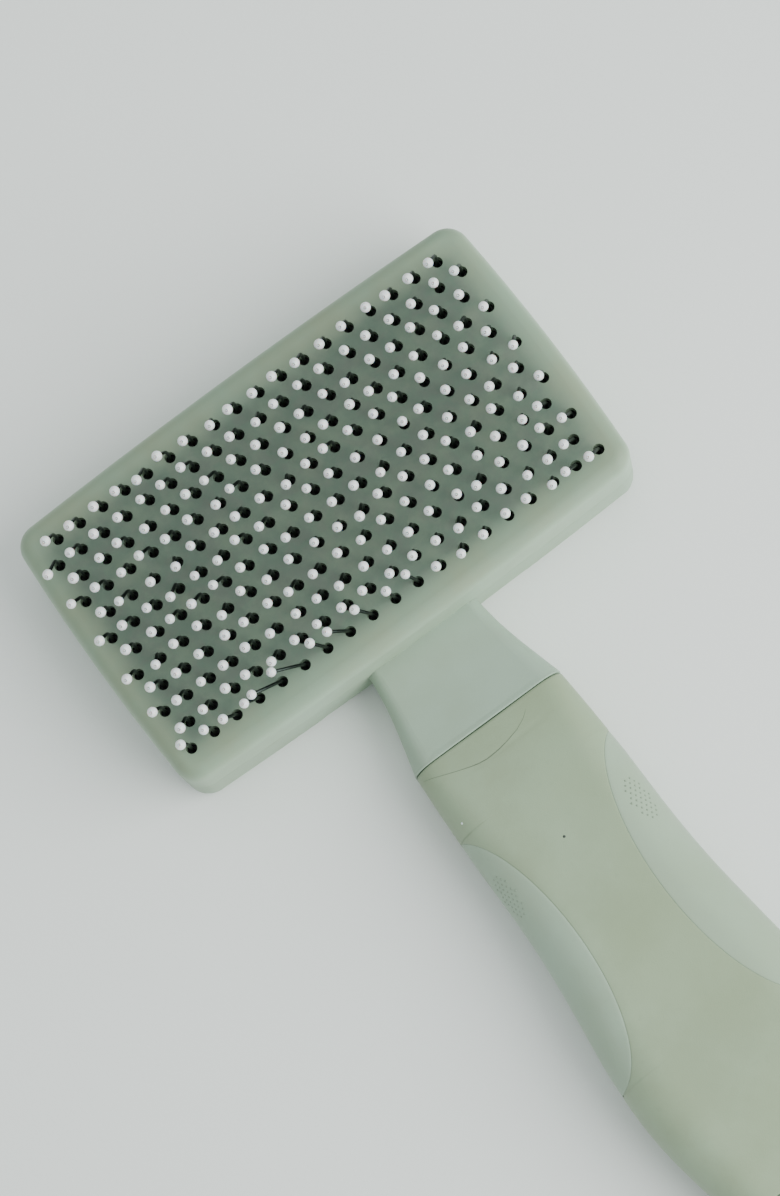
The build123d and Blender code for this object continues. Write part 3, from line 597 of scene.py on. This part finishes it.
def ring(y):
    """Height of the axis and all surveyed radii at one Y."""
    t = (y - SURVEY_YS[0]) / SURVEY_STEP
    i = int(np.clip(math.floor(t), 0, len(SURVEY_YS) - 2))
    t = min(max(t - i, -OUTSIDE_STEPS), 1 + OUTSIDE_STEPS)
    height = SURVEY_HEIGHTS[i] * (1 - t) + SURVEY_HEIGHTS[i + 1] * t
    return height, SURVEY_RADII[i] * (1 - t) + SURVEY_RADII[i + 1] * t


def radius_at(radii, angle):
    t = (angle / (2 * math.pi) * SURVEY_ANGLES) % SURVEY_ANGLES
    i = int(t)
    return radii[i] * (1 - (t - i)) + radii[(i + 1) % SURVEY_ANGLES] * (t - i)


def on_handle(y, angle, lift=0.0):
    """Point of the handle's surface, in millimetres."""
    height, radii = ring(y)
    r = radius_at(radii, angle) + lift
    return (r * math.cos(angle), y, height + r * math.sin(angle))


def angle_over(x, y):
    """Angle on the upper side at which the surface has a given X."""
    height, radii = ring(y)
    low, high = 0.0, math.pi
    for _ in range(ANGLE_HALVINGS):
        middle = (low + high) / 2
        if radius_at(radii, middle) * math.cos(middle) > x:
            low = middle
        else:
            high = middle
    return (low + high) / 2


def pad_edge_angle(y, side, face):
    """Angle from the side line to a pad's edge, on the upper face (1) or the back (-1)."""
    centre_x, centre_y, half_width, half_length = PADS[side]
    v = (y - centre_y) / half_length
    if abs(v) >= 1:
        return 0.0
    edge_x = centre_x - half_width * math.sqrt(1 - v * v)
    radii = ring(y)[1]
    middle = 0.0 if side > 0 else math.pi
    low, high = 0.0, math.pi / 2
    if radius_at(radii, middle) <= edge_x:
        return 0.0
    for _ in range(EDGE_HALVINGS):
        half = (low + high) / 2
        a = middle + side * face * half
        if abs(radius_at(radii, a) * math.cos(a)) > edge_x:
            low = half
        else:
            high = half
    return low


def edge_distance(x, y, side):
    """Rough distance from a pad's outline, positive outside it."""
    centre_x, centre_y, half_width, half_length = PADS[side]
    u = (abs(x) - centre_x) / half_width
    v = (y - centre_y) / half_length
    e = math.sqrt(u * u + v * v) + 1e-6
    slope = math.sqrt((u / half_width) ** 2 + (v / half_length) ** 2) / e
    return (e - 1) / max(slope, 1e-6)


def rolled_edge(distance, radius, depth):
    """How far a rounded edge has dropped at a distance from its border."""
    t = 1 - min(max(distance, 0.0), radius) / radius
    return depth * (1 - math.sqrt(max(0.0, 1 - t * t)))


def welded(points, faces):
    """Merges points that coincide and drops the faces that close up."""
    seen, order, kept = {}, [], []
    for p in points:
        key = tuple(round(c * WELD_CELLS) for c in p)
        if key not in seen:
            seen[key] = len(kept)
            kept.append(p)
        order.append(seen[key])
    clean = []
    for face in faces:
        corners = []
        for k in face:
            if order[k] not in corners:
                corners.append(order[k])
        if len(corners) > 2:
            clean.append(tuple(corners))
    return kept, clean


PAD_ROWS = 76
PAD_SEARCH_STEPS = 400  # per half of a pad's length, to find where it ends
PAD_TIP_ANGLE = 0.004  # a row is part of the pad if its edge angle is more than this


def pad_rows(side):
    """Y of the rows of a pad, closer together towards its two tips."""
    _, centre_y, _, half_length = PADS[side]
    steps = range(2 * PAD_SEARCH_STEPS + 1)
    reach = [centre_y + half_length * (1 - i / PAD_SEARCH_STEPS) for i in steps]
    inside = [y for y in reach if pad_edge_angle(y, side, 1) > PAD_TIP_ANGLE]
    middle, half = (inside[0] + inside[-1]) / 2, (inside[0] - inside[-1]) / 2
    return [middle + half * math.cos(math.pi * i / PAD_ROWS) for i in range(PAD_ROWS + 1)]


PAD_GAP_ANGLE = 0.003
EDGE_STEPS = [0.0, 0.06, 0.14, 0.26, 0.42, 0.62]  # millimetres in from a border
SHORT_ROW = 4.0  # a shorter row has no finer steps at its borders


def border_spread(length, count):
    """Positions from 0 to 1, close together near both borders."""
    if length < SHORT_ROW:
        total = count + 2 * len(EDGE_STEPS)
        return [i / (total - 1) for i in range(total)]
    near = [d / length for d in EDGE_STEPS]
    start, end = near[-1], 1 - near[-1]
    middle = [start + (end - start) * (i + 1) / (count + 1) for i in range(count)]
    return near + middle + [1 - d for d in reversed(near)]


SLEEVE_COLUMNS = 70
SLEEVE_ROW_STEP = 1.2
SLEEVE_ARC = 50.0  # rough length of a row of the sleeve
SEAM_STEPS = (0.0, 0.05, 0.12, 0.22, 0.35, 0.5, 0.7, 1.0)  # rows next to the neck's seam
END_STEPS = (0.0, 0.06, 0.15, 0.3, 0.5)  # rows next to the end cap
END_GAP = 0.1
TUCK = 1.0  # the first and last row are turned in by this much
SLEEVE_BORDER_TUCK = 0.9  # and the sleeve's border at a pad by this much
SEAM_ROLL = (0.5, 0.45)  # radius and depth of a rounded edge
END_ROLL = (0.5, 0.35)
OPENING_ROLL = (0.35, 0.13)
OPENING_FADE = (0.02, 0.20)  # edge angles between which an opening's shaping comes in
CREASE_STEP = 0.35  # between the rows that carry the crease
CREASE_BOW = 0.0035
CREASE_WIDTH = 0.5
CREASE_DEPTH = 0.07
CREASE_FADE = (6.0, 13.0)  # the crease fades out between these distances from the middle


def sleeve_rows():
    """Y of the sleeve's rows from the neck to the end, finer at its borders and the crease."""
    start = GRIP_START - SEAM_GAP
    rows = [start - d for d in SEAM_STEPS]
    rows += [GRIP_END + END_GAP + d for d in END_STEPS]
    rows += [CREASE_Y + CREASE_STEP * i for i in range(-5, 6)]
    rows += list(np.arange(GRIP_END + SLEEVE_ROW_STEP, start - SLEEVE_ROW_STEP, SLEEVE_ROW_STEP))
    rows += pad_rows(-1) + pad_rows(1)
    rows = sorted(set(round(float(y), 3) for y in rows), reverse=True)
    return [rows[0]] + rows + [rows[-1]]


def make_sleeve():
    """Soft sleeve, opened on both sides for the pads, with rolled edges."""
    start = GRIP_START - SEAM_GAP
    rows = sleeve_rows()
    spread = [0.0] + border_spread(SLEEVE_ARC, SLEEVE_COLUMNS) + [1.0]
    points, faces = [], []
    for face in (1, -1):
        base = len(points)
        for number, y in enumerate(rows):
            height, radii = ring(y)
            right = pad_edge_angle(y, 1, face)
            left = pad_edge_angle(y, -1, face)
            lip = TUCK if number in (0, len(rows) - 1) else 0.0
            open_right = float(smooth_step(right, *OPENING_FADE))
            open_left = float(smooth_step(left, *OPENING_FADE))
            ends = rolled_edge(start - y, *SEAM_ROLL) + rolled_edge(y - GRIP_END - END_GAP, *END_ROLL)
            for k, t in enumerate(spread):
                a = face * (right + (math.pi - left - right) * t)
                r = radius_at(radii, a)
                x = r * math.cos(a)
                side = 1 if t < 0.5 else -1
                opened = open_right if side > 0 else open_left
                drop = ends
                if opened > 0:
                    drop += opened * rolled_edge(edge_distance(x, y, side), *OPENING_ROLL)
                crease = math.exp(-(((y - CREASE_Y - CREASE_BOW * x * x) / CREASE_WIDTH) ** 2))
                if face > 0:
                    drop += CREASE_DEPTH * crease * (1 - smooth_step(abs(x), *CREASE_FADE))
                if k == 0 or k == len(spread) - 1:
                    drop += SLEEVE_BORDER_TUCK * opened
                r -= drop + lip
                points.append((r * math.cos(a), y, height + r * math.sin(a)))
        faces += [
            tuple(reversed(f)) if face > 0 else f
            for f in grid_faces(len(rows), len(spread), start=base)
        ]
    piece = add_piece("grip_skin", *welded(points, faces), GRIP, "shell", "grip_rubber")
    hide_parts("grip_sleeve")


PAD_COLUMNS = 34
PAD_ROLL = (0.45, 0.14)
PAD_CROWN = 0.10  # height that a pad rises above the CAD's surface
PAD_CROWN_FADE = (0.5, 4.0)  # distances from the edge between which the pad rises
PAD_TIP_SHAPING = 0.3  # share of the shaping that is left at a pad's tips
PAD_BORDER_TUCK = 0.8


def make_pad(side, node):
    """Softly crowned pad that fills one side opening of the sleeve."""
    points, faces = [], []
    rows = [y for y in pad_rows(side) if pad_edge_angle(y, side, 1) > 3 * PAD_GAP_ANGLE]
    columns = PAD_COLUMNS + 2 * len(EDGE_STEPS) + 2
    for y in rows:
        height, radii = ring(y)
        up = pad_edge_angle(y, side, 1)
        down = pad_edge_angle(y, side, -1)
        opened = float(smooth_step(up, *OPENING_FADE))
        spread = border_spread((up + down) * SIDE_RADIUS, PAD_COLUMNS)
        for k, t in enumerate([0.0] + spread + [1.0]):
            turn = -down + (up + down) * t
            turn += PAD_GAP_ANGLE * (1 - 2 * t)
            a = turn if side > 0 else math.pi - turn
            r = radius_at(radii, a)
            x = r * math.cos(a)
            inside = max(0.0, -edge_distance(x, y, side))
            drop = rolled_edge(inside, *PAD_ROLL) - PAD_CROWN * smooth_step(inside, *PAD_CROWN_FADE)
            drop *= PAD_TIP_SHAPING + (1 - PAD_TIP_SHAPING) * opened
            if k == 0 or k == columns - 1:
                drop += PAD_BORDER_TUCK * opened
            r -= drop
            points.append((r * math.cos(a), y, height + r * math.sin(a)))
    faces = grid_faces(len(rows), columns)
    if side > 0:
        faces = [tuple(reversed(f)) for f in faces]
    piece = add_piece(node + "_skin", *welded(points, faces), PAD, "shell", "pad_rubber")
    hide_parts(node)


BEAD_PROFILE = ((1.0, -0.35), (0.92, 0.25), (0.62, 0.75))  # shares of its radius and height


def bead(centre, normal, radius, height, sides=8):
    """Low round bump standing on a surface."""
    turn = normal.to_track_quat("Z", "Y")
    points = []
    for r, z in BEAD_PROFILE:
        for j in range(sides):
            a = 2 * math.pi * j / sides
            local = Vector((radius * r * math.cos(a), radius * r * math.sin(a), height * z))
            points.append(centre + turn @ local)
    points.append(centre + turn @ Vector((0, 0, height)))
    rings = len(BEAD_PROFILE)
    faces = grid_faces(rings, sides, closed=True)
    last = len(points) - 1
    top = (rings - 1) * sides
    faces += [(top + j, top + (j + 1) % sides, last) for j in range(sides)]
    return points, faces


def surface_normal(y, angle):
    """Direction straight out of, or into, the handle's surface."""
    here = Vector(on_handle(y, angle))
    around = Vector(on_handle(y, angle + NORMAL_PROBE_ANGLE)) - here
    along = Vector(on_handle(y + NORMAL_PROBE_STEP, angle)) - here
    return along.cross(around).normalized()


DOT_CENTRE_Y = -79.0
DOT_HALF_LENGTH = 4.9
DOT_HALF_WIDTH = 1.9
DOT_PITCH = 0.95
DOT_ROW_PITCH = 0.87  # of the pitch along a row
DOT_RADIUS = 0.24
DOT_HEIGHT = 0.15
DOT_LIFT = 0.08
DOT_ANGLES = {-1: 0.36, 1: 0.50}  # of the patch's middle from the side line, by side


def make_dots(side, name):
    """Patch of small raised dots on a pad's shoulder, their darker rubber being painted shade."""
    points, faces = [], []
    centre_angle = DOT_ANGLES[side]
    for i in range(-7, 8):
        for j in range(-4, 5):
            y = DOT_CENTRE_Y + i * DOT_PITCH * DOT_ROW_PITCH
            along = (j + 0.5 * (i % 2)) * DOT_PITCH
            if ((y - DOT_CENTRE_Y) / DOT_HALF_LENGTH) ** 2 + (along / DOT_HALF_WIDTH) ** 2 > 1:
                continue
            turn = centre_angle + along / SIDE_RADIUS
            a = turn if side > 0 else math.pi - turn
            normal = surface_normal(y, a)
            if normal.x * side < 0:
                normal = -normal
            spot = Vector(on_handle(y, a, DOT_LIFT))
            new_points, new_faces = bead(spot, normal, DOT_RADIUS, DOT_HEIGHT)
            base = len(points)
            points.extend(new_points)
            faces.extend(tuple(base + k for k in f) for f in new_faces)
    add_piece(name, points, faces, SHADED_DOT, "shell", "pad_rubber")


STRIP_STEPS = 6  # between two spots of a line
STRIP_EDGE_DROP = 0.05  # its borders dip under the surface by this share of its lift


def make_strip(name, spots, width, lift, material):
    """Hair-thin line drawn on the upper side of the handle through some X, Y spots."""
    fine = []
    steps = STRIP_STEPS
    for (x0, y0), (x1, y1) in zip(spots, spots[1:]):
        fine += [(x0 + (x1 - x0) * i / steps, y0 + (y1 - y0) * i / steps) for i in range(steps)]
    fine.append(spots[-1])
    points = []
    for i, (x, y) in enumerate(fine):
        before, after = fine[max(i - 1, 0)], fine[min(i + 1, len(fine) - 1)]
        ahead = Vector((after[0] - before[0], after[1] - before[1], 0)).normalized()
        across = Vector((-ahead.y, ahead.x, 0)) * width / 2
        fade = math.sin(math.pi * (i + 0.6) / (len(fine) + 0.2)) ** 0.5
        for sign, height in ((-1, -STRIP_EDGE_DROP), (0, 1.0), (1, -STRIP_EDGE_DROP)):
            px, py = x + across.x * sign * fade, y + across.y * sign * fade
            points.append(on_handle(py, angle_over(px, py), lift * height))
    add_piece(name, points, grid_faces(len(fine), 3), material, "shell", "grip_rubber")


NECK_LIP_COLUMNS = 180
# the lip's profile: distance in front of the sleeve, height over the handle's surface
NECK_LIP = [
    (1.5, -0.06),
    (1.1, -0.01),
    (0.75, 0.05),
    (0.45, 0.10),
    (0.22, 0.12),
    (0.08, 0.10),
    (0.0, 0.03),
    (-0.03, -0.12),
    (-0.03, -1.0),
]


def make_neck_lip():
    """Thin flared lip where the hard neck ends at the sleeve."""
    points = []
    for ahead, lift in NECK_LIP:
        for j in range(NECK_LIP_COLUMNS):
            a = 2 * math.pi * j / NECK_LIP_COLUMNS
            points.append(on_handle(GRIP_START + ahead, a, lift))
    faces = grid_faces(len(NECK_LIP), NECK_LIP_COLUMNS, closed=True)
    add_piece("neck_lip", points, faces, NECK, "shell", "shell_plastic")


SPECK_HEIGHT = 0.06
SPECK_SIDES = 10


def make_speck(name, x, y, radius, material, slot):
    """Small fleck on the upper side of the sleeve."""
    a = angle_over(x, y)
    centre = Vector(on_handle(y, a))
    points, faces = bead(centre, surface_normal(y, a), radius, SPECK_HEIGHT, SPECK_SIDES)
    add_piece(name, points, faces, material, "shell", slot)


RIB_PLACES = (-2.2, 0.0, 2.2)  # along Y from the button's middle
RIB_HALF_LENGTH = 4.6
RIB_HEIGHT = 0.17
RIB_SINK = 0.02
RIB_SECTIONS = 17
RIB_PROFILE = ((-0.62, 0.0), (-0.42, 0.6), (0.0, 1.0), (0.42, 0.6), (0.62, 0.0))


def make_button_ribs():
    """Three low ribs for the thumb on the release button."""
    low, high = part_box("release_button")
    middle_y = (low.y + high.y) / 2 / MM
    points, faces = [], []
    for offset in RIB_PLACES:
        base = len(points)
        for i in range(RIB_SECTIONS):
            t = 2 * i / (RIB_SECTIONS - 1) - 1
            x = RIB_HALF_LENGTH * t
            height = RIB_HEIGHT * math.sqrt(max(0.0, 1 - t**4))
            for dy, dz in RIB_PROFILE:
                points.append((x, middle_y + offset + dy, low.z / MM + RIB_SINK - height * dz))
        rib = grid_faces(RIB_SECTIONS, len(RIB_PROFILE), start=base)
        faces += [tuple(reversed(f)) for f in rib]
    add_piece("button_ribs", points, faces, SHELL, "button", "shell_plastic")


# a fine dark line on the sleeve, as X and Y
HAIR_LINE = [
    (-15.6, -52.4),
    (-12.5, -53.8),
    (-10.5, -54.6),
    (-8.6, -55.3),
    (-7.0, -55.85),
    (-5.5, -56.25),
    (-4.0, -56.45),
    (-2.4, -56.4),
    (-0.8, -56.25),
    (0.9, -55.95),
    (3.5, -55.3),
    (5.6, -54.3),
    (7.0, -53.2),
]
HAIR_WIDTH = 0.16
HAIR_LIFT = 0.04

make_button_ribs()
make_sleeve()
make_pad(-1, "side_pad_left")
make_pad(1, "side_pad_right")
make_dots(-1, "grip_dots_left")
make_dots(1, "grip_dots_right")
make_neck_lip()
make_strip("grip_scratch", HAIR_LINE, HAIR_WIDTH, HAIR_LIFT, SCRATCH)
make_speck("grip_speck_dark", -1.3, -76.6, 0.28, CARRIER, "carrier_plastic")
make_speck("grip_speck_pale", -14.6, -63.2, 0.22, TIP, "pin_tip")

# =========================================================================================
# floor and lights
# =========================================================================================
FLOOR_SIZE = 8.0  # metres, as all lengths in this section
FLOOR_Z = -0.0001
FLOOR_DARK = (0.755, 0.800, 0.760)
FLOOR_LIGHT = (0.770, 0.815, 0.775)
WORLD_COLOUR = (0.93, 0.97, 1.0, 1.0)
WORLD_STRENGTH = 0.80
# name, place, diameter and watts
LIGHTS = [
    ("window", (0.58, -0.60, 0.60), 1.1, 17.0),
    ("ceiling", (0.1, 0.3, 1.4), 1.2, 4.0),
]


def make_floor():
    """Plain pale table."""
    s = Shader("floor")
    cloud = s.ramp(s.noise(9.0, 4.0), 0.0, 1.0, 0.35, 0.65)
    s.link(s.mix(cloud, FLOOR_DARK, FLOOR_LIGHT), s.bsdf.inputs["Base Color"])
    s.link(s.bump(s.noise(900.0, 2.0), 0.00003), s.bsdf.inputs["Normal"])
    s.set(Roughness=0.6)
    bpy.ops.mesh.primitive_plane_add(size=FLOOR_SIZE, location=(0, 0, FLOOR_Z))
    floor = bpy.context.object
    floor.name = "floor"
    floor.data.materials.append(s.material)


def make_lights():
    """Soft window light from the picture's right, and an even pale room."""
    world = bpy.data.worlds.new("room")
    bpy.context.scene.world = world
    world.use_nodes = True
    background = world.node_tree.nodes["Background"]
    background.inputs["Color"].default_value = WORLD_COLOUR
    background.inputs["Strength"].default_value = WORLD_STRENGTH
    for name, place, size, power in LIGHTS:
        data = bpy.data.lights.new(name, "AREA")
        data.shape = "DISK"
        data.size = size
        data.energy = power
        light = bpy.data.objects.new(name, data)
        bpy.context.scene.collection.objects.link(light)
        light.location = place
        light.rotation_mode = "QUATERNION"
        light.rotation_quaternion = (-Vector(place)).to_track_quat("-Z", "Y")


make_floor()
make_lights()
